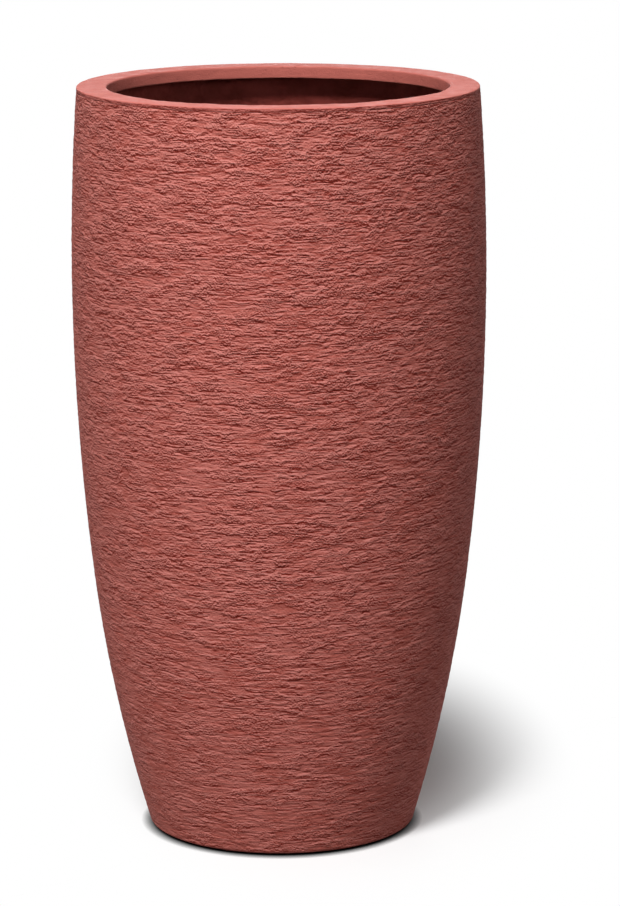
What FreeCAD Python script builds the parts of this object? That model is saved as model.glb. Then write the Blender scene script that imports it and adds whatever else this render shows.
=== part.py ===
# Tall round planter of fibre clay with a combed outer face.
# A tapered shell stands on four rubber pads. A smooth ring caps the shell and overhangs the inner wall.
# A base plate with a plugged drain hole lies on a ledge in the foot.
# A plastic planting insert hangs by its flange on four brackets, and lifts out by two wire bails.
# The origin is on the floor under the planter's axis, +Z is up, and the front is towards -Y.
import FreeCAD
import Part

import math
import os

from FreeCAD import Vector

# Driving dimensions, in millimetres and degrees.

# Outer wall, measured to the mean surface of the combed face
HEIGHT = 700.0  # floor to the top of the rim
BELLY_RADIUS = 192.0  # the widest part of the wall
BELLY_DROP = 171.0  # from the top of the wall down to the belly
RIM_DRAW = 6.5  # how far the wall draws in from the belly to its top
KNEE_HEIGHT = 250.0  # where the belly's long curve meets the foot's tighter one
KNEE_DRAW = 16.0  # how far the wall has drawn in at the knee
FOOT_DRAW = 67.5  # how far the wall has drawn in at the foot
WALL = 10.0
BOND_GAP = 0.3  # adhesive between bonded pieces

# Foot and base
FOOT_LIFT = 2.0  # gap between the floor and the foot
FOOT_EDGE = 4.0  # rounding of the foot's outer edge
FOOT_RING_WIDTH = 28.0  # outer edge of the foot to the inner edge of its ledge
LEDGE_THICKNESS = 8.0
FLOOR_THICKNESS = 14.0  # base plate at its outer edge
FLOOR_FALL = 3.0  # fall of the base plate's top towards the drain
DRAIN_RADIUS = 12.5

# Foot pads
PAD_RADIUS = 8.5
PAD_THICKNESS = 5.0
PAD_GAP = 0.3  # round the pad in its pocket
PAD_NAMES = ("front_right", "back_right", "back_left", "front_left")

# Drain plug
PLUG_GAP = 0.3  # between the plug's stem and the drain hole
PLUG_LIP = 6.5  # how far the plug's flange laps the plate
PLUG_FLANGE = 5.0
PLUG_STEM = 14.0  # below the flange
PLUG_TAPER = 1.2  # narrowing of the stem's lower end
TAB_WIDTH = 22.0
TAB_HEIGHT = 22.0
TAB_THICKNESS = 6.0
TAB_HOLE_RADIUS = 5.5
SEAT_MARGIN = 3.0  # flat of the base plate outside the plug's flange

# Rim ring
RIM_WIDTH = 28.0  # flat top, outer edge to mouth
RIM_DEPTH = 12.0  # inner edge of the ring
RIM_CAP = 4.0  # thickness over the wall's top
RIM_EDGE = 1.2  # rounding of the outer top edge
MOUTH_EDGE = 2.0  # rounding of the inner top edge
LIP_EDGE = 1.5  # rounding of the inner bottom edge

# Planting insert
LIFT_GAP = 5.0  # between the insert's flange and the mouth
FLANGE_DROP = 60.0  # top of the rim down to the flange
FLANGE_WIDTH = 20.0  # outside the pot's wall
FLANGE_THICKNESS = 4.0
FLANGE_EDGE = 1.5
POT_DEPTH = 260.0  # flange to the underside of the pot's floor
POT_DRAW = 20.0  # how far the pot narrows from flange to floor
POT_WALL = 3.0
POT_FLOOR = 4.0
POT_CORNER = 8.0  # outer rounding between wall and floor
POT_FOOT_HEIGHT = 3.0
POT_FOOT_WIDTH = 6.0
POT_FOOT_INSET = 12.0  # foot's outer edge inside the pot's corner
POT_HOLE_RADIUS = 6.0
POT_HOLE_CIRCLE = 72.0
POT_HOLES = 8

# Support brackets
BRACKET_WIDTH = 44.0
BRACKET_DROP = 50.0
BRACKET_NOSE = 10.0  # height of the bracket's front face
BRACKET_GAP = 4.0  # between the bracket and the pot's wall
BRACKET_HEEL = 6.0  # thickness at the bracket's lower end
BRACKET_NAMES = ("front_right", "back_right", "back_left", "front_left")

# Bail handles
WIRE_RADIUS = 2.5
PIVOT_GAP = 0.2  # round the wire in the ear's hole
BAIL_SPREAD = 49.0  # half the angle that the bow spans
BAIL_BEND = 7.0  # radius of the bend into the pivot end
PIVOT_END = 9.0  # straight end of the wire
EAR_THICKNESS = 5.0
EAR_WIDTH = 12.0
EAR_SHOULDER = 1.5  # from the wire's bend to the ear
GRIP_RADIUS = 6.0
GRIP_SPREAD = 21.0  # half the angle that the grip spans
GRIP_GAP = 0.1  # round the wire inside the grip
GRIP_EDGE = 2.0
GRIP_REST = 0.3  # above the flange

OUT_FOLDER = "parts"
ORIGIN = Vector(0, 0, 0)
UP = Vector(0, 0, 1)
FULL_TURN = 360.0

# Derived places
wall_top = HEIGHT - RIM_CAP
belly_height = wall_top - BELLY_DROP
rim_radius = BELLY_RADIUS - RIM_DRAW
foot_radius = BELLY_RADIUS - FOOT_DRAW
ledge_radius = foot_radius - FOOT_RING_WIDTH
ledge_top = FOOT_LIFT + LEDGE_THICKNESS
floor_top = ledge_top + FLOOR_THICKNESS
plug_seat = floor_top - FLOOR_FALL
plug_flange_radius = DRAIN_RADIUS + PLUG_LIP
pad_circle = (ledge_radius + foot_radius - FOOT_EDGE) / 2
mouth_radius = rim_radius - RIM_WIDTH
flange_top = HEIGHT - FLANGE_DROP
insert_seat = flange_top - FLANGE_THICKNESS
flange_radius = mouth_radius - LIFT_GAP
pot_radius = flange_radius - FLANGE_WIDTH
pot_floor_radius = pot_radius - POT_DRAW
pot_floor_bottom = insert_seat - POT_DEPTH
bail_radius = (flange_radius + pot_radius - POT_WALL) / 2
pivot_height = flange_top + GRIP_REST + GRIP_RADIUS
spread = math.radians(BAIL_SPREAD)
pivot_x = (bail_radius + BAIL_BEND) * math.cos(spread) - BAIL_BEND
bend_y = (bail_radius + BAIL_BEND) * math.sin(spread)


# Wall curve: three arcs, each tangent to the next

def curvature(rise, draw):
    """Curvature of an arc that starts upright and draws in by draw over a height of rise."""
    return 2 * draw / (rise**2 + draw**2)


upper_curvature = curvature(BELLY_DROP, RIM_DRAW)
belly_curvature = curvature(belly_height - KNEE_HEIGHT, KNEE_DRAW)
knee_normal_r = 1 - belly_curvature * KNEE_DRAW
knee_normal_z = belly_curvature * (KNEE_HEIGHT - belly_height)
knee_to_foot_r = KNEE_DRAW - FOOT_DRAW
knee_to_foot_z = FOOT_LIFT - KNEE_HEIGHT
foot_curvature = -2 * (knee_to_foot_r * knee_normal_r + knee_to_foot_z * knee_normal_z) / (
    knee_to_foot_r**2 + knee_to_foot_z**2
)


def knee_level(inset):
    """Height of the knee on the surface that lies inset inside the outer wall."""
    return KNEE_HEIGHT - inset * knee_normal_z


def wall_arc(height, inset):
    """Start, outward normal and curvature of the arc that holds a height, inset inside the outer wall."""
    if height < knee_level(inset):
        start = Vector(BELLY_RADIUS - KNEE_DRAW, 0, KNEE_HEIGHT)
        normal = Vector(knee_normal_r, 0, knee_normal_z)
        bend = foot_curvature
    else:
        start = Vector(BELLY_RADIUS, 0, belly_height)
        normal = Vector(1, 0, 0)
        bend = belly_curvature if height < belly_height else upper_curvature
    return start - normal * inset, normal, bend / (1 - bend * inset)


def wall_radius(height, inset=0.0):
    """Radius, at a height, of the surface that lies inset inside the outer wall."""
    start, normal, bend = wall_arc(height, inset)
    rise = height - start.z
    fall = rise * normal.z + bend * rise**2 / 2
    return start.x - 2 * fall / (normal.x + math.sqrt(normal.x**2 - 2 * bend * fall))


def wall_point(height, inset=0.0):
    return Vector(wall_radius(height, inset), 0, height)


def wall_edge(low, high, inset):
    """One arc of the wall curve, as a rational curve that may also be straight."""
    start = wall_point(low, inset)
    end = wall_point(high, inset)
    _, _, bend = wall_arc((low + high) / 2, inset)
    chord = end - start
    outward = Vector(chord.z, 0, -chord.x)
    weight = math.sqrt(1 - (bend * chord.Length / 2) ** 2)
    curve = Part.BezierCurve()
    curve.setPoles([start, (start + end) / 2 + outward * (bend * chord.Length / (4 * weight)), end])
    curve.setWeight(2, weight)
    return curve.toShape()


def wall_edges(low, high, inset=0.0):
    """Arcs of the wall curve from low up to high, inset inside the outer wall."""
    breaks = [b for b in (knee_level(inset), belly_height) if low < b < high]
    levels = [low, *breaks, high]
    return [wall_edge(start, end, inset) for start, end in zip(levels, levels[1:])]


# Shared shapes

def line(start, end):
    return Part.LineSegment(start, end).toShape()


def rounded_wire(corners):
    """Closed wire in the XZ plane through corners of (radius, height, rounding)."""
    points = [Vector(r, 0, z) for r, z, _ in corners]
    ends = []
    arcs = []
    for i, (_, _, rounding) in enumerate(corners):
        here = points[i]
        back = (points[i - 1] - here).normalize()
        ahead = (points[(i + 1) % len(points)] - here).normalize()
        if not rounding:
            ends.append((here, here))
            arcs.append(None)
            continue
        half = back.getAngle(ahead) / 2
        middle = (back + ahead).normalize()
        reach = rounding / math.tan(half)
        start = here + back * reach
        end = here + ahead * reach
        crown = here + middle * (rounding / math.sin(half) - rounding)
        ends.append((start, end))
        arcs.append(Part.Arc(start, crown, end).toShape())
    edges = []
    for i, arc in enumerate(arcs):
        if arc:
            edges.append(arc)
        edges.append(line(ends[i][1], ends[(i + 1) % len(ends)][0]))
    return Part.Wire(edges)


def turned(wire, angle=FULL_TURN):
    """Solid made by turning a closed wire about the planter's axis."""
    return Part.Face(wire).revolve(ORIGIN, UP, angle)


def cylinder(radius, low, high, x=0.0, y=0.0):
    return Part.makeCylinder(radius, high - low, Vector(x, y, low))


def about_axis(shape, angle):
    copy = shape.copy()
    copy.rotate(ORIGIN, UP, angle)
    return copy


def quarter_angles(names):
    """Names with the angles of a pattern that starts half a step from the front-right axis."""
    step = FULL_TURN / len(names)
    return [(name, step / 2 + step * (i - 1)) for i, name in enumerate(names)]


# Shell: combed wall, foot ledge and pockets for the pads

def outer_shell():
    inner_foot = wall_point(ledge_top, WALL)
    outer_foot = wall_point(FOOT_LIFT)
    inner_top = wall_point(wall_top, WALL)
    outer_top = wall_point(wall_top)
    ledge_bottom_edge = Vector(ledge_radius, 0, FOOT_LIFT)
    ledge_top_edge = Vector(ledge_radius, 0, ledge_top)
    edges = [line(ledge_bottom_edge, outer_foot)]
    edges += wall_edges(FOOT_LIFT, wall_top)
    edges.append(line(outer_top, inner_top))
    edges += reversed(wall_edges(ledge_top, wall_top, WALL))
    edges.append(line(inner_foot, ledge_top_edge))
    edges.append(line(ledge_top_edge, ledge_bottom_edge))
    shell = turned(Part.Wire(Part.sortEdges(edges)[0]))
    foot_edges = [
        edge
        for edge in shell.Edges
        if edge.BoundBox.ZLength < BOND_GAP
        and abs(edge.BoundBox.ZMin - FOOT_LIFT) < BOND_GAP
        and abs(edge.BoundBox.XMax - foot_radius) < BOND_GAP
    ]
    shell = shell.makeFillet(FOOT_EDGE, foot_edges)
    for _, angle in quarter_angles(PAD_NAMES):
        pocket = cylinder(PAD_RADIUS + PAD_GAP, FOOT_LIFT, PAD_THICKNESS, pad_circle)
        shell = shell.cut(about_axis(pocket, angle))
    return shell


# Rim ring: flat cap over the wall's top, with a deep inner edge

def rim_ring():
    spigot_radius = wall_radius(wall_top, WALL) - BOND_GAP
    lip_bottom = HEIGHT - RIM_DEPTH
    return turned(
        rounded_wire(
            [
                (mouth_radius, HEIGHT, MOUTH_EDGE),
                (mouth_radius, lip_bottom, LIP_EDGE),
                (spigot_radius, lip_bottom, LIP_EDGE),
                (spigot_radius, wall_top, 0),
                (rim_radius, wall_top, 0),
                (rim_radius, HEIGHT, RIM_EDGE),
            ]
        )
    )


# Base plate: floor inside the foot, falling to the drain hole

def base_plate():
    seat_radius = plug_flange_radius + SEAT_MARGIN
    inset = WALL + BOND_GAP
    return turned(
        rounded_wire(
            [
                (DRAIN_RADIUS, ledge_top, 0),
                (wall_radius(ledge_top, inset), ledge_top, 0),
                (wall_radius(floor_top, inset), floor_top, 0),
                (seat_radius, plug_seat, 0),
                (DRAIN_RADIUS, plug_seat, 0),
            ]
        )
    )


# Drain plug: rubber stopper with a pull tab

def drain_plug():
    stem_radius = DRAIN_RADIUS - PLUG_GAP
    stem_end = plug_seat - PLUG_STEM
    flange_level = plug_seat + PLUG_FLANGE
    body = turned(
        rounded_wire(
            [
                (0, stem_end, 0),
                (stem_radius - PLUG_TAPER, stem_end, PLUG_TAPER),
                (stem_radius, (stem_end + plug_seat) / 2, 0),
                (stem_radius, plug_seat, 0),
                (plug_flange_radius, plug_seat, 0),
                (plug_flange_radius, flange_level, PLUG_FLANGE / 2),
                (0, flange_level, 0),
            ]
        )
    )
    tab_centre = flange_level + TAB_HEIGHT - TAB_WIDTH / 2
    foot = Vector(-TAB_WIDTH / 2, -TAB_THICKNESS / 2, plug_seat + PLUG_FLANGE / 2)
    tab = Part.makeBox(TAB_WIDTH, TAB_THICKNESS, tab_centre - foot.z, foot)
    across = Vector(0, 1, 0)
    crown_start = Vector(0, -TAB_THICKNESS / 2, tab_centre)
    crown = Part.makeCylinder(TAB_WIDTH / 2, TAB_THICKNESS, crown_start, across)
    hole = Part.makeCylinder(TAB_HOLE_RADIUS, TAB_THICKNESS, crown_start, across)
    return body.fuse([tab, crown]).cut(hole).removeSplitter()


# Foot pads: rubber discs seated in the foot's pockets

def foot_pads():
    pad = cylinder(PAD_RADIUS, 0, PAD_THICKNESS, pad_circle)
    return {f"foot_pad_{name}": about_axis(pad, angle) for name, angle in quarter_angles(PAD_NAMES)}


# Support brackets: corbels bonded to the inner wall

def support_brackets():
    inset = WALL + BOND_GAP
    heel_level = insert_seat - BRACKET_DROP
    toe_radius = pot_radius + BRACKET_GAP
    toe_top = Vector(toe_radius, 0, insert_seat)
    toe_bottom = Vector(toe_radius, 0, insert_seat - BRACKET_NOSE)
    heel_wall = wall_point(heel_level, inset)
    heel_front = heel_wall - Vector(BRACKET_HEEL, 0, 0)
    edges = wall_edges(heel_level, insert_seat, inset)
    edges.append(line(wall_point(insert_seat, inset), toe_top))
    edges.append(line(toe_top, toe_bottom))
    edges.append(line(toe_bottom, heel_front))
    edges.append(line(heel_front, heel_wall))
    sector = math.degrees(BRACKET_WIDTH / wall_radius(insert_seat, inset))
    bracket = turned(Part.Wire(Part.sortEdges(edges)[0]), sector)
    return {
        f"support_bracket_{name}": about_axis(bracket, angle - sector / 2)
        for name, angle in quarter_angles(BRACKET_NAMES)
    }


# Planting insert: tapered pot with a flange, drain holes and ears for the bails

def ear(side):
    """Ear for the bail end on the +Y or -Y side of the +X handle."""
    inner_y = bend_y + EAR_SHOULDER
    low_y = min(side * inner_y, side * (inner_y + EAR_THICKNESS))
    base = Vector(pivot_x - EAR_WIDTH / 2, low_y, insert_seat + FLANGE_THICKNESS / 2)
    post = Part.makeBox(EAR_WIDTH, EAR_THICKNESS, pivot_height - base.z, base)
    across = Vector(0, 1, 0)
    start = Vector(pivot_x, low_y, pivot_height)
    crown = Part.makeCylinder(EAR_WIDTH / 2, EAR_THICKNESS, start, across)
    hole = Part.makeCylinder(WIRE_RADIUS + PIVOT_GAP, EAR_THICKNESS, start, across)
    return post.fuse(crown).cut(hole)


def planting_insert():
    foot_outer = pot_floor_radius - POT_FOOT_INSET
    foot_inner = foot_outer - POT_FOOT_WIDTH
    foot_bottom = pot_floor_bottom - POT_FOOT_HEIGHT
    floor_inside = pot_floor_bottom + POT_FLOOR
    pot = turned(
        rounded_wire(
            [
                (0, pot_floor_bottom, 0),
                (foot_inner, pot_floor_bottom, 0),
                (foot_inner, foot_bottom, 0),
                (foot_outer, foot_bottom, 0),
                (foot_outer, pot_floor_bottom, 0),
                (pot_floor_radius, pot_floor_bottom, POT_CORNER),
                (pot_radius, insert_seat, 0),
                (flange_radius, insert_seat, FLANGE_EDGE),
                (flange_radius, flange_top, FLANGE_EDGE),
                (pot_radius - POT_WALL, flange_top, FLANGE_EDGE),
                (pot_floor_radius - POT_WALL, floor_inside, POT_CORNER - POT_WALL),
                (0, floor_inside, 0),
            ]
        )
    )
    ears = [ear(side) for side in (-1, 1)]
    ears += [about_axis(shape, FULL_TURN / 2) for shape in ears]
    pot = pot.fuse(ears).removeSplitter()
    hole = cylinder(POT_HOLE_RADIUS, foot_bottom, floor_inside, POT_HOLE_CIRCLE)
    holes = [about_axis(hole, FULL_TURN / POT_HOLES * i) for i in range(POT_HOLES)]
    holes.append(cylinder(POT_HOLE_RADIUS, foot_bottom, floor_inside))
    return pot.cut(holes)


# Bail handles: bent wire with a moulded grip

def bail():
    """Wire of the +X handle, lying on the flange."""

    def at(x, y):
        return Vector(x, y, pivot_height)

    def on_bow(angle, radius=bail_radius):
        return at(radius * math.cos(angle), radius * math.sin(angle))

    def bend_middle(side):
        turn = math.pi - spread / 2
        centre = on_bow(side * spread, bail_radius + BAIL_BEND)
        return centre + Vector(BAIL_BEND * math.cos(turn), side * -BAIL_BEND * math.sin(turn), 0)

    end_y = bend_y + PIVOT_END
    edges = [
        line(at(pivot_x, -end_y), at(pivot_x, -bend_y)),
        Part.Arc(at(pivot_x, -bend_y), bend_middle(-1), on_bow(-spread)).toShape(),
        Part.Arc(on_bow(-spread), on_bow(0), on_bow(spread)).toShape(),
        Part.Arc(on_bow(spread), bend_middle(1), at(pivot_x, bend_y)).toShape(),
        line(at(pivot_x, bend_y), at(pivot_x, end_y)),
    ]
    section = Part.Circle(at(pivot_x, -end_y), Vector(0, 1, 0), WIRE_RADIUS).toShape()
    return Part.Wire(edges).makePipeShell([Part.Wire([section])], True, False)


def grip():
    """Sleeve on the middle of the +X handle's bow."""
    centre = Vector(bail_radius, 0, pivot_height)
    along = Vector(0, 1, 0)
    outer = Part.Face(Part.Wire([Part.Circle(centre, along, GRIP_RADIUS).toShape()]))
    bore = Part.Face(Part.Wire([Part.Circle(centre, along, WIRE_RADIUS + GRIP_GAP).toShape()]))
    sleeve = outer.revolve(ORIGIN, UP, 2 * GRIP_SPREAD)
    rims = [edge for edge in sleeve.Edges if edge.Closed and len(edge.Vertexes) == 1]
    ends = [edge for edge in rims if isinstance(edge.Curve, Part.Circle) and edge.Curve.Radius == GRIP_RADIUS]
    sleeve = sleeve.makeFillet(GRIP_EDGE, ends)
    sleeve = sleeve.cut(bore.revolve(ORIGIN, UP, 2 * GRIP_SPREAD))
    return about_axis(sleeve, -GRIP_SPREAD)


def handles():
    shapes = {}
    for side, angle in (("right", 0.0), ("left", FULL_TURN / 2)):
        shapes[f"{side}_bail"] = about_axis(bail(), angle)
        shapes[f"{side}_grip"] = about_axis(grip(), angle)
    return shapes


def main():
    shapes = {
        "outer_shell": outer_shell(),
        "rim_ring": rim_ring(),
        "base_plate": base_plate(),
        "drain_plug": drain_plug(),
        "planting_insert": planting_insert(),
    }
    shapes.update(foot_pads())
    shapes.update(support_brackets())
    shapes.update(handles())
    os.makedirs(OUT_FOLDER, exist_ok=True)
    for name, shape in shapes.items():
        shape.exportStep(os.path.join(OUT_FOLDER, f"{name}.step"))
        litres = shape.Volume / 1e6
        print(f"{name}: solids {len(shape.Solids)}, valid {shape.isValid()}, {litres:.4f} litres")
    print(f"pivot axis of the right bail: x {pivot_x:.3f}, z {pivot_height:.3f}, bend at y {bend_y:.3f}")


main()
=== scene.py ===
import math

import bmesh
import bpy
import numpy as np
from mathutils import Matrix, Vector


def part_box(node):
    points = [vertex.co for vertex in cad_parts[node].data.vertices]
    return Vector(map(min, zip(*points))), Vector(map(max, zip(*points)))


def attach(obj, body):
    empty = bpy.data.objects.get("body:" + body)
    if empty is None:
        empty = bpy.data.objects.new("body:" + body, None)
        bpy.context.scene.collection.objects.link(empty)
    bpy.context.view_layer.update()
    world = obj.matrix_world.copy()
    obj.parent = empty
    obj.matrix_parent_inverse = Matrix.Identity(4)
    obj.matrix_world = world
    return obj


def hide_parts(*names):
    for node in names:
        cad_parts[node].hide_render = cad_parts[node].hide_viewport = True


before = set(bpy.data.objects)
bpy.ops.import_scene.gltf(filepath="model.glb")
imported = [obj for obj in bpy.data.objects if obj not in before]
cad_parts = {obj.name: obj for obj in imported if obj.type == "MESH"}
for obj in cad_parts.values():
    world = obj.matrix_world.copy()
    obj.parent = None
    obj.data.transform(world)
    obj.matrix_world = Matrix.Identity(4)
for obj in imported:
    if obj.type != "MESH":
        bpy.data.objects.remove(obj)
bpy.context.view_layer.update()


# Outer shell. One tall wall of red fibre clay, laid up in a mould and combed round while it was still wet,
# which tore its face into short level ridges with small pits between them. Its up-facing slopes carry a
# painted highlight and its down-facing slopes a painted shade.
# Its foot turns in to a ledge that carries the base plate, and the rim ring covers its top edge.
# Its inside and the underside of its foot take a darker colour, partly the raw inside clay and partly
# painted shade.
shell_low, shell_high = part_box("outer_shell")
WALL = 0.010
BELLY_RADIUS = 0.192
BELLY_HEIGHT = 0.525
RIM_DRAW = 0.0065
KNEE_HEIGHT = 0.250
KNEE_DRAW = 0.016
FOOT_DRAW = 0.0675
FOOT_EDGE = 0.004
LEDGE_RADIUS = 0.0965
LEDGE_THICKNESS = 0.008
WALL_ROWS = 570
INNER_ROWS = 24
EDGE_ROWS = 5
SHELL_COLUMNS = 160
COMB_LENGTH = 0.013
COMB_PITCH = 0.0027
COMB_DRIFT = 0.0014
COMB_LEAN = 0.0003
COMB_DEPTH = 0.0012
DRIFT_LENGTH = 0.040
DRIFT_PITCH = 0.020
FIBRE_LENGTH = 0.0110
FIBRE_PITCH = 0.0020
CRACK_LENGTH = 0.032
CRACK_PITCH = 0.0034
CRACK_WIDTH = 0.08
CRACK_STRENGTH = 0.5
TEAR_LENGTH = 0.013
TEAR_PITCH = 0.0040
CRUMB_LENGTH = 0.0016
CRUMB_PITCH = 0.0013
PATCH_LENGTH = 0.018
PATCH_PITCH = 0.009
CRUMBS_FEW = 0.90
CRUMBS_MANY = 2.2
TORN_LENGTH = 0.033
TORN_PITCH = 0.017
TORN_LEAST = 0.55
FOOT_TORN = 0.42
RIM_TORN = 1.15
FADE_LOW = -0.30
FADE_HIGH = 0.60
TEAR_STEP = 0.0009
# Slopes at which the torn face is painted fully as highlight and fully as shade.
HIGHLIGHT_SLOPE = 0.27
SHADE_SLOPE = 0.25
CHALK_CLOUDS = 0.35
FACE_BUMP = 0.0022
# The deep colour is painted shade. The chalk colour is the clay's paler tone in clouds, and also its painted
# highlight.
CLAY_PAINTED_SHADE = (0.19, 0.019, 0.012, 1)
CLAY_FACE = (0.39, 0.094, 0.072, 1)
CLAY_CHALK_AND_HIGHLIGHT = (0.555, 0.188, 0.159, 1)
# The inside colours are darker than the face: partly the raw inside clay, partly painted shade.
CLAY_INSIDE_SHADE = (0.16, 0.026, 0.019, 1)
CLAY_INSIDE_SHADE_PALE = (0.24, 0.043, 0.034, 1)


def bend_of(rise, draw):
    """Curvature of an arc that starts upright and draws in by draw over a height of rise."""
    return 2 * draw / (rise**2 + draw**2)


upper_bend = bend_of(shell_high.z - BELLY_HEIGHT, RIM_DRAW)
belly_bend = bend_of(BELLY_HEIGHT - KNEE_HEIGHT, KNEE_DRAW)
knee_normal = Vector((1 - belly_bend * KNEE_DRAW, belly_bend * (KNEE_HEIGHT - BELLY_HEIGHT)))
knee_to_foot = Vector((KNEE_DRAW - FOOT_DRAW, shell_low.z - KNEE_HEIGHT))
foot_bend = -2 * knee_to_foot.dot(knee_normal) / knee_to_foot.length_squared


def wall_radius(height, inset=0.0):
    """Radius of the wall at a height, inset inside its outer face: three arcs, each tangent to the next."""
    if height < KNEE_HEIGHT - inset * knee_normal.y:
        start, normal, bend = Vector((BELLY_RADIUS - KNEE_DRAW, KNEE_HEIGHT)), knee_normal, foot_bend
    else:
        start, normal = Vector((BELLY_RADIUS, BELLY_HEIGHT)), Vector((1.0, 0.0))
        bend = belly_bend if height < BELLY_HEIGHT else upper_bend
    start = start - normal * inset
    bend = bend / (1 - bend * inset)
    rise = height - start.y
    fall = rise * normal.y + bend * rise**2 / 2
    return start.x - 2 * fall / (normal.x + math.sqrt(normal.x**2 - 2 * bend * fall))


def steps(low, high, count):
    """Evenly spaced values from low to high, both included."""
    return [low + (high - low) * i / count for i in range(count + 1)]


def placed(mesh):
    """Object that puts a mesh in the scene under the mesh's own name."""
    piece = bpy.data.objects.new(mesh.name, mesh)
    bpy.context.scene.collection.objects.link(piece)
    return piece


def turned_mesh(name, profile, columns):
    """Mesh object made by turning a closed profile of (radius, height, worked_and_lit) about the axis.
    The value worked_and_lit is how much of the hand finish a spot gets, and in the combed clay how little of
    the inside colour's painted shade it takes. The map runs round in u and along the profile in v."""
    mesh = bpy.data.meshes.new(name)
    bm = bmesh.new()
    worked_and_lit = bm.verts.layers.float.new("worked_and_lit")
    along = bm.verts.layers.float.new("along")
    verts = []
    travelled = 0.0
    for radius, height, amount in profile:
        vert = bm.verts.new((radius, 0.0, height))
        if verts:
            travelled += (vert.co - verts[-1].co).length
        vert[worked_and_lit] = amount
        vert[along] = travelled
        verts.append(vert)
    edges = [bm.edges.new((a, b)) for a, b in zip(verts, verts[1:] + verts[:1])]
    total = travelled + edges[-1].calc_length()
    bmesh.ops.spin(
        bm,
        geom=verts + edges,
        cent=(0, 0, 0),
        axis=(0, 0, 1),
        angle=math.tau,
        steps=columns,
        use_merge=True,
        use_duplicate=False,
    )
    bmesh.ops.recalc_face_normals(bm, faces=bm.faces)
    bm.to_mesh(mesh)
    bm.free()
    mesh.shade_smooth()
    corners = np.empty(len(mesh.loops), np.int32)
    mesh.loops.foreach_get("vertex_index", corners)
    places = np.empty(len(mesh.vertices) * 3, np.float32)
    mesh.vertices.foreach_get("co", places)
    marks = np.empty(len(mesh.vertices), np.float32)
    mesh.attributes["along"].data.foreach_get("value", marks)
    x, y, _ = places.reshape(-1, 3)[corners].reshape(-1, 4, 3).transpose(2, 0, 1)
    u = np.arctan2(y, x) / math.tau + 0.5
    v = marks[corners].reshape(-1, 4) / total
    u += u.max(axis=1, keepdims=True) - u > 0.5
    v += v.max(axis=1, keepdims=True) - v > 0.5
    bake_map = mesh.uv_layers.new(name="OFBake")
    bake_map.data.foreach_set("uv", np.stack([u * columns / (columns + 1), v], axis=-1).ravel())
    return placed(mesh)


def add(tree, kind, inputs=None, **settings):
    """Adds a node, sets its properties, and sets or links its inputs by name or number."""
    new = tree.nodes.new(kind)
    for name, value in settings.items():
        setattr(new, name, value)
    for name, value in (inputs or {}).items():
        if isinstance(value, bpy.types.NodeSocket):
            tree.links.new(value, new.inputs[name])
        else:
            new.inputs[name].default_value = value
    return new


def calc(tree, operation, *values):
    """One step of arithmetic on values or sockets."""
    return add(tree, "ShaderNodeMath", dict(enumerate(values)), operation=operation).outputs[0]


def moved_up(tree, place, lift):
    """A place shifted up by a varying height."""
    shift = add(tree, "ShaderNodeCombineXYZ", {"Z": lift}).outputs[0]
    return add(tree, "ShaderNodeVectorMath", {0: place, 1: shift}, operation="ADD").outputs[0]


def grain(tree, place, length, height=None, detail=1.0, roughness=0.6):
    """Noise from 0 to 1, in grains of a length round the piece and a height up it, in metres."""
    scale = (1 / length, 1 / length, 1 / (height or length))
    scaled = add(tree, "ShaderNodeVectorMath", {0: place, 1: scale}, operation="MULTIPLY").outputs[0]
    inputs = {"Vector": scaled, "Scale": 1.0, "Detail": detail, "Roughness": roughness}
    return add(tree, "ShaderNodeTexNoise", inputs).outputs[0]


def ramp(tree, value, low, high, start=0.0, end=1.0):
    """Smooth step from start to end as a value goes from low to high."""
    inputs = {"Value": value, "From Min": low, "From Max": high, "To Min": start, "To Max": end}
    return add(tree, "ShaderNodeMapRange", inputs, interpolation_type="SMOOTHSTEP").outputs[0]


def mixed(tree, factor, first, second):
    """Colour between two colours."""
    inputs = {0: factor, 6: first, 7: second}
    return add(tree, "ShaderNodeMix", inputs, data_type="RGBA").outputs[2]


def combing(tree, place):
    """Ridges left by the comb, for the mesh and for its finish, and the leaning places they are drawn on."""
    drift = grain(tree, place, DRIFT_LENGTH, DRIFT_PITCH, detail=2.0)
    wavy = moved_up(tree, place, calc(tree, "MULTIPLY", calc(tree, "SUBTRACT", drift, 0.5), COMB_DRIFT))
    first = grain(tree, wavy, COMB_LENGTH, COMB_PITCH)
    leaned = moved_up(tree, wavy, calc(tree, "MULTIPLY", calc(tree, "SUBTRACT", first, 0.5), COMB_LEAN))
    return grain(tree, leaned, COMB_LENGTH, COMB_PITCH, detail=1.5), leaned


def tearing(tree, place):
    """Height of the torn face: drawn-out fibres, thin cracks that break off and start again, and crumbs."""
    fibres = grain(tree, place, FIBRE_LENGTH, FIBRE_PITCH, detail=2.0)
    level = calc(tree, "SUBTRACT", grain(tree, place, CRACK_LENGTH, CRACK_PITCH), 0.5)
    broken = ramp(tree, grain(tree, place, TEAR_LENGTH, TEAR_PITCH), 0.42, 0.55)
    cracks = ramp(tree, calc(tree, "ABSOLUTE", level), 0.0, CRACK_WIDTH, CRACK_STRENGTH, 0.0)
    cracks = calc(tree, "MULTIPLY", cracks, broken)
    patches = grain(tree, place, PATCH_LENGTH, PATCH_PITCH, detail=2.0)
    crumbly = ramp(tree, patches, 0.42, 0.58, CRUMBS_FEW, CRUMBS_MANY)
    crumbs = calc(tree, "MULTIPLY", grain(tree, place, CRUMB_LENGTH, CRUMB_PITCH, detail=1.5), crumbly)
    return calc(tree, "ADD", calc(tree, "SUBTRACT", fibres, cracks), crumbs)


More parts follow.
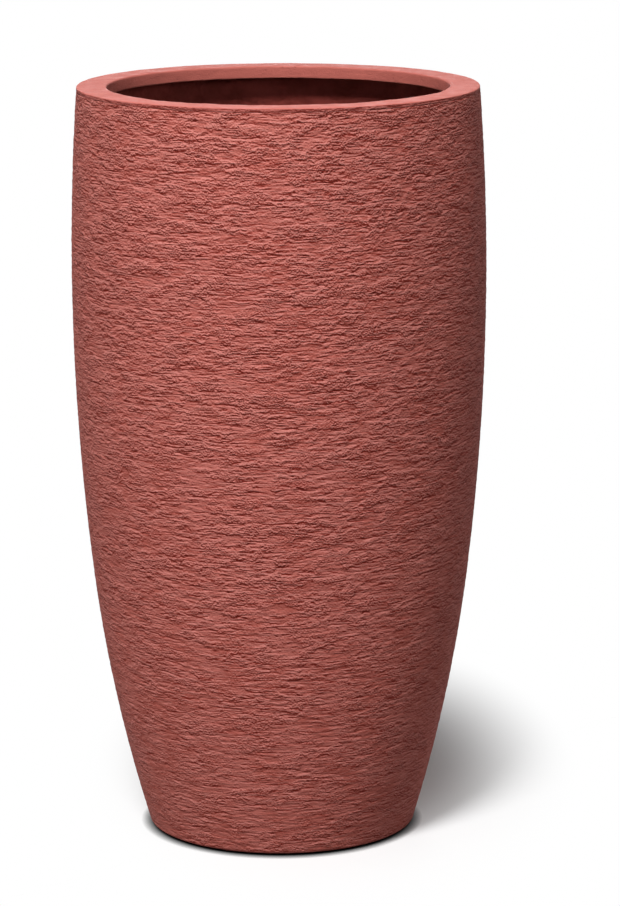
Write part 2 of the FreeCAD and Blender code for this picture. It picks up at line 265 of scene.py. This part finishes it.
def carve(piece, recipe, depth, middle=0.5):
    """Moves a mesh in and out along its normals by a recipe of 0 to 1, scaled by worked_and_lit, how much of
    the hand finish a spot gets.
    """
    relief = bpy.data.node_groups.new(piece.name + " relief", "GeometryNodeTree")
    relief.interface.new_socket("Geometry", in_out="INPUT", socket_type="NodeSocketGeometry")
    relief.interface.new_socket("Geometry", in_out="OUTPUT", socket_type="NodeSocketGeometry")
    before = add(relief, "NodeGroupInput").outputs[0]
    height = recipe(relief, add(relief, "GeometryNodeInputPosition").outputs[0])
    worked_and_lit = add(relief, "GeometryNodeInputNamedAttribute", {"Name": "worked_and_lit"}, data_type="FLOAT").outputs[0]
    offset = calc(relief, "MULTIPLY", calc(relief, "SUBTRACT", height, middle), depth)
    offset = calc(relief, "MULTIPLY", offset, worked_and_lit)
    normal = add(relief, "GeometryNodeInputNormal").outputs[0]
    along = add(relief, "ShaderNodeVectorMath", {0: normal, "Scale": offset}, operation="SCALE").outputs[0]
    after = add(relief, "GeometryNodeSetPosition", {"Geometry": before, "Offset": along}).outputs[0]
    add(relief, "NodeGroupOutput", {0: after})
    modifier = piece.modifiers.new("relief", "NODES")
    modifier.node_group = relief
    depsgraph = bpy.context.evaluated_depsgraph_get()
    carved = bpy.data.meshes.new_from_object(piece.evaluated_get(depsgraph))
    piece.modifiers.remove(modifier)
    piece.data = carved
    carved.name = piece.name


mottle_and_grit = bpy.data.node_groups.new("mottle and grit", "ShaderNodeTree")
mottle_and_grit.interface.new_socket("Place", in_out="INPUT", socket_type="NodeSocketVector")
for name in ("Mottle Size", "Grit Size"):
    mottle_and_grit.interface.new_socket(name, in_out="INPUT", socket_type="NodeSocketFloat")
for name in ("Mottle", "Grit"):
    mottle_and_grit.interface.new_socket(name, in_out="OUTPUT", socket_type="NodeSocketFloat")
given = add(mottle_and_grit, "NodeGroupInput").outputs
clouds = {}
for name, detail in (("Mottle", 3.0), ("Grit", 2.0)):
    scale = calc(mottle_and_grit, "DIVIDE", 1.0, given[name + " Size"])
    inputs = {"Vector": given["Place"], "Scale": scale, "Detail": detail, "Roughness": 0.6}
    cloud = add(mottle_and_grit, "ShaderNodeTexNoise", inputs).outputs[0]
    clouds[name] = ramp(mottle_and_grit, cloud, 0.3, 0.7)
add(mottle_and_grit, "NodeGroupOutput", clouds)


def new_material(name, mottle_size, grit_size):
    """Material with its node tree, its surface shader, the places on it, and its own mottle and grit."""
    material = bpy.data.materials.new(name)
    material.use_nodes = True
    tree = material.node_tree
    place = add(tree, "ShaderNodeTexCoord").outputs["Object"]
    inputs = {"Place": place, "Mottle Size": mottle_size, "Grit Size": grit_size}
    skin = add(tree, "ShaderNodeGroup", inputs, node_tree=mottle_and_grit).outputs
    return material, tree, tree.nodes["Principled BSDF"], place, skin["Mottle"], skin["Grit"]


def bumped(tree, surface, height, distance):
    """Feeds a height from 0 to 1 to the surface's normal."""
    bump = add(tree, "ShaderNodeBump", {"Height": height, "Distance": distance}).outputs[0]
    tree.links.new(bump, surface.inputs["Normal"])


shell_profile = [(LEDGE_RADIUS, shell_low.z, 0.0)]
corner = Vector((wall_radius(shell_low.z + FOOT_EDGE) - FOOT_EDGE, shell_low.z + FOOT_EDGE))
# The foot's rounding runs from the inside colour to the combed face, which paints shade under the foot.
for turn in steps(0, math.pi / 2, EDGE_ROWS)[:-1]:
    at = corner + FOOT_EDGE * Vector((math.sin(turn), -math.cos(turn)))
    shell_profile.append((at.x, at.y, turn / (math.pi / 2)))
for height in steps(shell_low.z + FOOT_EDGE, shell_high.z, WALL_ROWS):
    shell_profile.append((wall_radius(height), height, 1.0))
# The inner wall and the ledge take the inside colour: partly the raw inside clay, partly painted shade.
for height in reversed(steps(shell_low.z + LEDGE_THICKNESS, shell_high.z, INNER_ROWS)):
    shell_profile.append((wall_radius(height, WALL), height, 0.0))
shell_profile.append((LEDGE_RADIUS, shell_low.z + LEDGE_THICKNESS, 0.0))
shell = turned_mesh("combed_shell", shell_profile, SHELL_COLUMNS)
carve(shell, lambda tree, place: combing(tree, place)[0], COMB_DEPTH)

combed_clay, tree, surface, place, mottle, grit = new_material(
    "combed fibre clay", mottle_size=0.030, grit_size=0.0012
)
worked_and_lit = add(tree, "ShaderNodeAttribute", attribute_name="worked_and_lit").outputs["Fac"]
ridges, leaned = combing(tree, place)
torn = ramp(tree, grain(tree, place, TORN_LENGTH, TORN_PITCH, detail=3.0), 0.40, 0.60, TORN_LEAST, 1.0)
up = add(tree, "ShaderNodeSeparateXYZ", {0: place}).outputs["Z"]
torn = calc(tree, "MULTIPLY", torn, ramp(tree, up, FADE_LOW, FADE_HIGH, FOOT_TORN, RIM_TORN))
height = tearing(tree, leaned)
above = tearing(tree, moved_up(tree, leaned, TEAR_STEP))
# Painted highlight and shade: where the torn face slopes up it is painted pale, and where it slopes down it
# is painted dark red.
facing = calc(tree, "MULTIPLY", calc(tree, "SUBTRACT", height, above), torn)
colour = mixed(tree, ramp(tree, mottle, 0.0, 1.0, 0.0, CHALK_CLOUDS), CLAY_FACE, CLAY_CHALK_AND_HIGHLIGHT)
colour = mixed(tree, ramp(tree, facing, 0.01, HIGHLIGHT_SLOPE), colour, CLAY_CHALK_AND_HIGHLIGHT)
colour = mixed(tree, ramp(tree, facing, -SHADE_SLOPE, -0.01, 1.0, 0.0), colour, CLAY_PAINTED_SHADE)
height = calc(tree, "MULTIPLY", calc(tree, "ADD", calc(tree, "MULTIPLY", height, torn), ridges), 0.5)
# Painted shade: the inside colour is much darker than the face, partly the raw inside clay and partly the
# shade inside the pot and under its foot and rim edge.
inside = mixed(tree, mottle, CLAY_INSIDE_SHADE, CLAY_INSIDE_SHADE_PALE)
tree.links.new(mixed(tree, worked_and_lit, inside, colour), surface.inputs["Base Color"])
tree.links.new(ramp(tree, grit, 0.0, 1.0, 0.70, 0.82), surface.inputs["Roughness"])
surface.inputs["Specular IOR Level"].default_value = 0.12
height = add(tree, "ShaderNodeMix", {0: worked_and_lit, 2: mottle, 3: height}).outputs[0]
bumped(tree, surface, height, FACE_BUMP)
shell.data.materials.append(combed_clay)
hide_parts("outer_shell")
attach(shell, "planter")


# Rim ring. A flat ring of the same clay, bonded over the top of the wall and smoothed by hand with a trowel.
# Its deep inner edge overhangs the inner wall and has a few small nicks.
# The combing of the wall runs up over its outer side at part strength, where the inside colour is mixed in
# as a painted shade band under the edge.
ring_low, ring_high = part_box("rim_ring")
BOND_GAP = 0.0003
MOUTH_RADIUS = 0.1575
RIM_EDGE = 0.0012
MOUTH_EDGE = 0.0020
LIP_EDGE = 0.0015
RING_COLUMNS = 480
RING_ROUND_ROWS = 7
RING_SPACING = 0.0015
RING_DEPTH = 0.0022
OUTER_WORKED_AND_LIT = 0.55
WAVE_SIZE = 0.050
DENT_SIZE = 0.011
RUB_LENGTH = 0.009
RUB_HEIGHT = 0.006
NICK_SIZE = 0.0035
RIM_BUMP = 0.0016
LIP_START = 0.0002
LIP_END = 0.0010
# Painted light: both rim colours are paler than the wall's clay, for light from above on the flat top.
# Between the two, the rim's tone varies at random.
RIM_RUBBED_LIT = (0.63, 0.190, 0.159, 1)
RIM_DULL_LIT = (0.56, 0.152, 0.122, 1)
# The nick colour is painted shade in the nicks.
RIM_NICK_SHADE = (0.34, 0.075, 0.056, 1)
# The lip colour is painted shade on the inner face of the lip.
RIM_LIP_SHADE = (0.48, 0.130, 0.104, 1)


def rounded_profile(corners, rows, spacing):
    """Closed profile through corners of (radius, height, rounding, worked_and_lit), with points along its
    flats.
    """
    points = [Vector(corner[:2]) for corner in corners]
    stretches = []
    for i, (_, _, rounding, worked_and_lit) in enumerate(corners):
        here = points[i]
        back = (points[i - 1] - here).normalized()
        ahead = (points[(i + 1) % len(points)] - here).normalized()
        half = back.angle(ahead) / 2
        reach = rounding / math.tan(half)
        centre = here + (back + ahead).normalized() * (rounding / math.sin(half))
        start = here + back * reach - centre
        end = here + ahead * reach - centre
        if rounding:
            arc = [centre + start.slerp(end, t) * rounding for t in steps(0, 1, rows)]
        else:
            arc = [here]
        stretches.append([(at, worked_and_lit) for at in arc])
    profile = []
    for stretch, following in zip(stretches, stretches[1:] + stretches[:1]):
        profile += [(at.x, at.y, worked_and_lit) for at, worked_and_lit in stretch]
        (start, worked_and_lit), (end, worked_and_lit_after) = stretch[-1], following[0]
        count = max(1, round((end - start).length / spacing))
        for t in steps(0, 1, count)[1:-1]:
            at = start.lerp(end, t)
            profile.append((at.x, at.y, worked_and_lit + (worked_and_lit_after - worked_and_lit) * t))
    return profile


def trowelling(tree, place):
    """Slow waves and small dents of a clay edge that was smoothed by hand."""
    waves = grain(tree, place, WAVE_SIZE, detail=1.0)
    dents = grain(tree, place, DENT_SIZE, detail=2.0)
    return calc(tree, "ADD", calc(tree, "MULTIPLY", waves, 0.65), calc(tree, "MULTIPLY", dents, 0.35))


spigot_radius = wall_radius(shell_high.z, WALL) - BOND_GAP
ring_profile = rounded_profile(
    [
        (MOUTH_RADIUS, ring_high.z, MOUTH_EDGE, 1.0),
        (MOUTH_RADIUS, ring_low.z, LIP_EDGE, 1.0),
        (spigot_radius, ring_low.z, LIP_EDGE, 0.0),
        (spigot_radius, shell_high.z, 0.0, 0.0),
        (ring_high.x, shell_high.z, 0.0, OUTER_WORKED_AND_LIT),
        (ring_high.x, ring_high.z, RIM_EDGE, OUTER_WORKED_AND_LIT),
    ],
    RING_ROUND_ROWS,
    RING_SPACING,
)
ring = turned_mesh("smoothed_rim", ring_profile, RING_COLUMNS)
carve(ring, trowelling, RING_DEPTH, middle=0.55)

smooth_clay, tree, surface, place, mottle, grit = new_material(
    "smoothed fibre clay", mottle_size=0.022, grit_size=0.0012
)
rubbed = grain(tree, place, RUB_LENGTH, RUB_HEIGHT, detail=3.0)
nicks = ramp(tree, grain(tree, place, NICK_SIZE, detail=1.0), 0.22, 0.28, 1.0, 0.0)
# Painted light from above makes both colours pale; the mottle between them is the rim's own uneven tone.
colour = mixed(tree, mottle, RIM_DULL_LIT, RIM_RUBBED_LIT)
# Painted shade: the nicks are painted darker than the rim round them.
colour = mixed(tree, calc(tree, "MULTIPLY", nicks, 0.6), colour, RIM_NICK_SHADE)
level = add(tree, "ShaderNodeVectorMath", {0: place, 1: (1, 1, 0)}, operation="MULTIPLY").outputs[0]
from_axis = add(tree, "ShaderNodeVectorMath", {0: level}, operation="LENGTH").outputs["Value"]
# Painted shade: the inner face of the lip is painted darker than the top.
lip_shade = ramp(tree, from_axis, MOUTH_RADIUS + LIP_START, MOUTH_RADIUS + LIP_END, 1.0, 0.0)
colour = mixed(tree, lip_shade, colour, RIM_LIP_SHADE)
tree.links.new(colour, surface.inputs["Base Color"])
tree.links.new(ramp(tree, rubbed, 0.3, 0.7, 0.78, 0.60), surface.inputs["Roughness"])
surface.inputs["Specular IOR Level"].default_value = 0.08
height = calc(tree, "ADD", calc(tree, "MULTIPLY", rubbed, 0.5), calc(tree, "MULTIPLY", grit, 0.08))
height = calc(tree, "SUBTRACT", height, calc(tree, "MULTIPLY", nicks, 0.4))
bumped(tree, surface, height, RIM_BUMP)
ring.data.materials.append(smooth_clay)
ring.data.materials.append(combed_clay)
# The ring's outer side takes the combed clay, darkened there by painted shade.
for face in ring.data.polygons:
    if face.center.z < ring_high.z - RIM_EDGE / 2 and face.center.xy.length > ring_high.x - RIM_EDGE:
        face.material_index = 1
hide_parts("rim_ring")
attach(ring, "planter")


# Base plate. A thick disc of raw clay, bonded on the foot's ledge, that falls to a drain hole in its middle.
# Its upper side was patted level by hand and left lumpy, and the plug's seat was pressed flat.
base_low, base_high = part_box("base_plate")
DRAIN_RADIUS = 0.0125
SEAT_RADIUS = 0.022
SEAT_DROP = 0.003
PLATE_EDGE = 0.001
PLATE_COLUMNS = 160
PLATE_SPACING = 0.003
LUMP_SIZE = 0.018
LUMP_DEPTH = 0.0025
PIT_SIZE = 0.006
RAW_BUMP = 0.002
RAW_PALE = (0.36, 0.105, 0.080, 1)
RAW_DARK = (0.22, 0.050, 0.036, 1)

seat_level = base_high.z - SEAT_DROP
plate_profile = rounded_profile(
    [
        (DRAIN_RADIUS, base_low.z, PLATE_EDGE, 0.0),
        (wall_radius(base_low.z, WALL + BOND_GAP), base_low.z, 0.0, 0.0),
        (wall_radius(base_high.z, WALL + BOND_GAP), base_high.z, 0.0, 1.0),
        (SEAT_RADIUS, seat_level, 0.0, 0.0),
        (DRAIN_RADIUS, seat_level, PLATE_EDGE, 0.0),
    ],
    EDGE_ROWS,
    PLATE_SPACING,
)
plate = turned_mesh("patted_base", plate_profile, PLATE_COLUMNS)
carve(plate, lambda tree, place: grain(tree, place, LUMP_SIZE, detail=2.0), LUMP_DEPTH, middle=1.0)

raw_clay, tree, surface, place, mottle, grit = new_material(
    "raw fibre clay", mottle_size=0.016, grit_size=0.0016
)
pits = ramp(tree, grain(tree, place, PIT_SIZE, detail=1.0), 0.28, 0.36, 1.0, 0.0)
colour = mixed(tree, mottle, RAW_DARK, RAW_PALE)
# Painted shade: the pits take the dark shade colour.
colour = mixed(tree, calc(tree, "MULTIPLY", pits, 0.7), colour, CLAY_PAINTED_SHADE)
tree.links.new(colour, surface.inputs["Base Color"])
tree.links.new(ramp(tree, grit, 0.0, 1.0, 0.78, 0.92), surface.inputs["Roughness"])
surface.inputs["Specular IOR Level"].default_value = 0.15
height = calc(tree, "SUBTRACT", calc(tree, "MULTIPLY", grit, 0.3), calc(tree, "MULTIPLY", pits, 0.6))
bumped(tree, surface, calc(tree, "ADD", height, calc(tree, "MULTIPLY", mottle, 0.4)), RAW_BUMP)
plate.data.materials.append(raw_clay)
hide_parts("base_plate")
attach(plate, "planter")


# Foot pads. Four small discs of black rubber, die cut and set in pockets under the foot.
# They hold the foot a little off the floor, so that drained water can leave.
PAD_EDGE = 0.0008
PAD_SIDES = 48
RUBBER = (0.020, 0.020, 0.021, 1)
RUBBER_DUST = (0.040, 0.038, 0.036, 1)
SCUFF_SIZE = 0.025


def moulded(name, colour, scuffed, shine, dull, grit_size, bump):
    """Dark moulded plastic or rubber: paler and duller where scuffed, with a fine grain from the mould."""
    material, tree, surface, _, mottle, grit = new_material(name, SCUFF_SIZE, grit_size)
    tree.links.new(mixed(tree, mottle, colour, scuffed), surface.inputs["Base Color"])
    tree.links.new(ramp(tree, mottle, 0.0, 1.0, shine, dull), surface.inputs["Roughness"])
    surface.inputs["Specular IOR Level"].default_value = 0.4
    bumped(tree, surface, grit, bump)
    return material


def round_edges(bm, edges, radius):
    """Rounds the given edges of a shape in the making."""
    bmesh.ops.bevel(
        bm,
        geom=edges,
        offset=radius,
        offset_type="OFFSET",
        affect="EDGES",
        segments=3,
        profile=0.5,
        material=-1,
    )


def crisp_piece(name, bm):
    """Object made from a finished shape: smooth over its roundings, with its real corners kept sharp."""
    mesh = bpy.data.meshes.new(name)
    bm.to_mesh(mesh)
    bm.free()
    mesh.shade_smooth()
    mesh.set_sharp_from_angle(angle=math.radians(40))
    return placed(mesh)


rubber = moulded(
    "black rubber", RUBBER, RUBBER_DUST, shine=0.62, dull=0.85, grit_size=0.0009, bump=0.00006
)
for corner_name in ("front_right", "back_right", "back_left", "front_left"):
    node = "foot_pad_" + corner_name
    pad_low, pad_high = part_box(node)
    pad_size = pad_high - pad_low
    bm = bmesh.new()
    bmesh.ops.create_cone(
        bm,
        cap_ends=True,
        segments=PAD_SIDES,
        radius1=pad_size.x / 2,
        radius2=pad_size.x / 2,
        depth=pad_size.z,
        matrix=Matrix.Translation((pad_low + pad_high) / 2),
    )
    caps = [face for face in bm.faces if len(face.verts) == PAD_SIDES]
    round_edges(bm, [edge for cap in caps for edge in cap.edges], PAD_EDGE)
    pad = crisp_piece(node + "_disc", bm)
    pad.data.materials.append(rubber)
    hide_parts(node)
    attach(pad, "planter")


# Drain plug. A moulded rubber stopper with a pull tab, pushed into the drain hole for use indoors.
# It keeps its solid's mesh and shares the rubber of the pads.
def dress(node, material):
    """Gives a piece that keeps its solid's mesh its finish."""
    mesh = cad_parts[node].data
    mesh.materials.clear()
    mesh.materials.append(material)


dress("drain_plug", rubber)


# Support brackets. Four corbels of raw clay, bonded inside the wall, which carry the insert's flange.
# Each is a wedge with a level top, rounded by thumb on its free edges.
BRACKET_WIDTH = 0.044
BRACKET_TOE = 0.1365
BRACKET_NOSE = 0.010
BRACKET_HEEL = 0.006
BRACKET_EDGE = 0.002
BRACKET_STEPS = 10
BRACKET_ANGLES = {"front_right": -45, "back_right": 45, "back_left": 135, "front_left": 225}

for corner_name, angle in BRACKET_ANGLES.items():
    node = "support_bracket_" + corner_name
    bracket_low, bracket_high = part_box(node)
    inset = WALL + BOND_GAP
    top_radius = wall_radius(bracket_high.z, inset)
    sector = BRACKET_WIDTH / top_radius
    outline = [(wall_radius(height, inset), height) for height in steps(bracket_low.z, bracket_high.z, 4)]
    outline.append((BRACKET_TOE, bracket_high.z))
    outline.append((BRACKET_TOE, bracket_high.z - BRACKET_NOSE))
    outline.append((outline[0][0] - BRACKET_HEEL, bracket_low.z))
    start = math.radians(angle) - sector / 2
    bm = bmesh.new()
    verts = [bm.verts.new((r * math.cos(start), r * math.sin(start), z)) for r, z in outline]
    side = bm.faces.new(verts)
    bmesh.ops.spin(
        bm,
        geom=[side, *side.edges, *verts],
        cent=(0, 0, 0),
        axis=(0, 0, 1),
        angle=sector,
        steps=BRACKET_STEPS,
        use_merge=False,
        use_duplicate=False,
    )
    bmesh.ops.recalc_face_normals(bm, faces=bm.faces)
    free_edges = [edge for edge in bm.edges if edge.calc_face_angle(0.0) > math.radians(25)]
    round_edges(bm, free_edges, BRACKET_EDGE)
    bracket = crisp_piece(node + "_corbel", bm)
    bracket.data.materials.append(raw_clay)
    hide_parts(node)
    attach(bracket, "planter")


# Planting insert. A pot of black moulded plastic for the soil, with drain holes and ears for the bails.
# It hangs by its flange on the brackets and lifts straight out. It keeps its solid's mesh.
INSERT_BLACK = (0.023, 0.023, 0.025, 1)
INSERT_SCUFFED = (0.030, 0.030, 0.032, 1)

insert_plastic = moulded(
    "black insert plastic",
    INSERT_BLACK,
    INSERT_SCUFFED,
    shine=0.46,
    dull=0.56,
    grit_size=0.0007,
    bump=0.00004,
)
dress("planting_insert", insert_plastic)


# Bails. Two folding handles of zinc-plated steel wire, each bent to a bow.
# Their ends are sprung into the insert's ears. They keep their solids' meshes.
ZINC_BRIGHT = (0.66, 0.67, 0.69, 1)
ZINC_DULL = (0.42, 0.43, 0.45, 1)
ZINC_BUMP = 0.00001

zinc, tree, surface, _, mottle, grit = new_material("zinc-plated wire", mottle_size=0.008, grit_size=0.0006)
tree.links.new(mixed(tree, mottle, ZINC_BRIGHT, ZINC_DULL), surface.inputs["Base Color"])
surface.inputs["Metallic"].default_value = 1.0
tree.links.new(ramp(tree, mottle, 0.0, 1.0, 0.26, 0.46), surface.inputs["Roughness"])
bumped(tree, surface, grit, ZINC_BUMP)
dress("right_bail", zinc)
dress("left_bail", zinc)


# Grips. A moulded sleeve with ring grooves for the fingers, slid over the middle of each bail.
# It is turned as a straight sleeve and then bent round the bow.
BOW_RADIUS = 0.141
GRIP_SPREAD = math.radians(21)
GRIP_RADIUS = 0.006
GRIP_BORE = 0.0026
GRIP_EDGE = 0.002
GRIP_GROOVES = 9
GROOVE_PITCH = 0.0085
GROOVE_WIDTH = 0.0026
GROOVE_DEPTH = 0.0010
GROOVE_EDGE = 0.0005
GRIP_SIDES = 40
GRIP_SPACING = 0.003
GRIP_GREY = (0.050, 0.050, 0.053, 1)
GRIP_SCUFFED = (0.072, 0.072, 0.075, 1)

grip_plastic = moulded(
    "grey grip plastic", GRIP_GREY, GRIP_SCUFFED, shine=0.45, dull=0.66, grit_size=0.0006, bump=0.00005
)
half_length = BOW_RADIUS * GRIP_SPREAD
sleeve = [(GRIP_BORE, half_length, 0.0, 0.0), (GRIP_BORE, -half_length, 0.0, 0.0)]
sleeve.append((GRIP_RADIUS, -half_length, GRIP_EDGE, 0.0))
for i in range(GRIP_GROOVES):
    middle = GROOVE_PITCH * (i - (GRIP_GROOVES - 1) / 2)
    sleeve.append((GRIP_RADIUS, middle - GROOVE_WIDTH / 2, GROOVE_EDGE, 0.0))
    sleeve.append((GRIP_RADIUS - GROOVE_DEPTH, middle - GROOVE_WIDTH / 4, GROOVE_EDGE / 2, 0.0))
    sleeve.append((GRIP_RADIUS - GROOVE_DEPTH, middle + GROOVE_WIDTH / 4, GROOVE_EDGE / 2, 0.0))
    sleeve.append((GRIP_RADIUS, middle + GROOVE_WIDTH / 2, GROOVE_EDGE, 0.0))
sleeve.append((GRIP_RADIUS, half_length, GRIP_EDGE, 0.0))
for side_name, side in (("right", 1), ("left", -1)):
    node = side_name + "_grip"
    grip_low, grip_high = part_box(node)
    grip = turned_mesh(node + "_sleeve", rounded_profile(sleeve, EDGE_ROWS, GRIP_SPACING), GRIP_SIDES)
    for vert in grip.data.vertices:
        out, down, along = vert.co
        turn = along / BOW_RADIUS
        reach = side * (BOW_RADIUS + out)
        height = (grip_low.z + grip_high.z) / 2 - down
        vert.co = (reach * math.cos(turn), reach * math.sin(turn), height)
    grip.data.materials.append(grip_plastic)
    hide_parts(node)
    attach(grip, side_name + "_handle")


# Floor. A wide white studio floor of matt paper, laid flat.
# Near the planter it takes the shadow, and a painted shade from ambient occlusion darkens it close around
# the foot, darkest in the gap under it. Further out it is plain white.
FLOOR_SIZE = 30.0
FLOOR_BOUNCE = (0.22, 0.22, 0.22, 1)
SHADOW_MIDDLE = (0.05, 0.20, 0.0)
SHADOW_REACH = (0.25, 0.50, 1.0)
SHADOW_CORE = 0.35
GAP_REACH = 0.010


def seen_ray(tree):
    """1 where a ray comes from the camera, a mirror or glass, and 0 where it only carries light about."""
    path = add(tree, "ShaderNodeLightPath")
    seen = calc(tree, "MAXIMUM", path.outputs["Is Camera Ray"], path.outputs["Is Glossy Ray"])
    return calc(tree, "MAXIMUM", seen, path.outputs["Is Transmission Ray"])


floor_mesh = bpy.data.meshes.new("floor")
bm = bmesh.new()
bmesh.ops.create_grid(bm, x_segments=1, y_segments=1, size=FLOOR_SIZE)
bm.to_mesh(floor_mesh)
bm.free()
floor = placed(floor_mesh)

paper = bpy.data.materials.new("white floor")
paper.use_nodes = True
tree = paper.node_tree
surface = tree.nodes["Principled BSDF"]
seen = seen_ray(tree)
place = add(tree, "ShaderNodeTexCoord").outputs["Object"]
offset = add(tree, "ShaderNodeVectorMath", {0: place, 1: SHADOW_MIDDLE}, operation="SUBTRACT").outputs[0]
spread = add(tree, "ShaderNodeVectorMath", {0: offset, 1: SHADOW_REACH}, operation="DIVIDE").outputs[0]
away = add(tree, "ShaderNodeVectorMath", {0: spread}, operation="LENGTH").outputs["Value"]
from_axis = add(tree, "ShaderNodeVectorMath", {0: place}, operation="LENGTH").outputs["Value"]
# Painted shade: ambient occlusion darkens the floor's colour and its white glow close to the foot.
openness = add(tree, "ShaderNodeAmbientOcclusion", {"Distance": GAP_REACH}, samples=16).outputs["AO"]
shade = calc(tree, "POWER", openness, 2.0)
tree.links.new(mixed(tree, seen, FLOOR_BOUNCE, shade), surface.inputs["Base Color"])
surface.inputs["Roughness"].default_value = 1.0
surface.inputs["Specular IOR Level"].default_value = 0.0
glow = add(tree, "ShaderNodeEmission", {"Color": (1, 1, 1, 1), "Strength": shade}).outputs[0]
open_floor = ramp(tree, from_axis, wall_radius(shell_low.z) - FOOT_EDGE, wall_radius(shell_low.z))
plain = calc(tree, "MULTIPLY", ramp(tree, away, SHADOW_CORE, 1.0), calc(tree, "MULTIPLY", seen, open_floor))
white = add(tree, "ShaderNodeMixShader", {0: plain, 1: surface.outputs[0], 2: glow}).outputs[0]
tree.links.new(white, tree.nodes["Material Output"].inputs["Surface"])
floor_mesh.materials.append(paper)


# Light. A high soft lamp in front, a little to the left, throws the shadow.
# Low ones at the left and right fill the sides, and one behind fills the back.
# Each lamp has an azimuth and an elevation in degrees, a power and a width.
LAMP_DISTANCE = 3.5
LAMP_AIM = Vector((0, 0, 0.35))
LAMPS = {
    "high_front": (-16, 55, 122.0, 0.8),
    "low_left": (-42, 3, 40.0, 1.6),
    "low_right": (46, 20, 20.0, 1.6),
    "low_back": (180, 10, 32.0, 1.6),
}
ROOM_LIGHT = 0.04

for name, (azimuth, elevation, power, size) in LAMPS.items():
    lamp = bpy.data.lights.new(name, "AREA")
    lamp.shape = "DISK"
    lamp.size = size
    lamp.energy = power
    lamp_object = bpy.data.objects.new(name, lamp)
    lamp_object.visible_camera = False
    turn, rise = math.radians(azimuth), math.radians(elevation)
    side = Vector((math.sin(turn) * math.cos(rise), -math.cos(turn) * math.cos(rise), math.sin(rise)))
    facing = side.to_track_quat("Z", "Y").to_matrix().to_4x4()
    lamp_object.matrix_world = Matrix.Translation(LAMP_AIM + side * LAMP_DISTANCE) @ facing
    bpy.context.scene.collection.objects.link(lamp_object)

world = bpy.data.worlds.new("studio")
world.use_nodes = True
tree = world.node_tree
backdrop = tree.nodes["Background"]
backdrop.inputs["Color"].default_value = (1, 1, 1, 1)
tree.links.new(ramp(tree, seen_ray(tree), 0.0, 1.0, ROOM_LIGHT, 1.0), backdrop.inputs["Strength"])
bpy.context.scene.world = world


# Camera. A long lens on a stand in front of the planter, a little above its rim, at the photograph's angle.
# It looks down, and is turned and tipped a little to one side.
CAMERA_PLACE = Vector((0.0, -3.6587, 1.1136))
CAMERA_PITCH = math.radians(11.725)
CAMERA_YAW = math.radians(0.438)
CAMERA_ROLL = math.radians(-0.207)
CAMERA_LENS = 158.6
SENSOR = 36.0

lens = bpy.data.cameras.new("camera")
lens.sensor_fit = "VERTICAL"
lens.sensor_height = SENSOR
lens.lens = CAMERA_LENS
lens.clip_end = 100.0
camera = bpy.data.objects.new("camera", lens)
bpy.context.scene.collection.objects.link(camera)
upright = Matrix.Rotation(-CAMERA_YAW, 4, "Z") @ Matrix.Rotation(math.pi / 2 - CAMERA_PITCH, 4, "X")
camera.matrix_world = Matrix.Translation(CAMERA_PLACE) @ upright @ Matrix.Rotation(CAMERA_ROLL, 4, "Z")
bpy.context.scene.camera = camera
bpy.context.scene.view_settings.view_transform = "Standard"
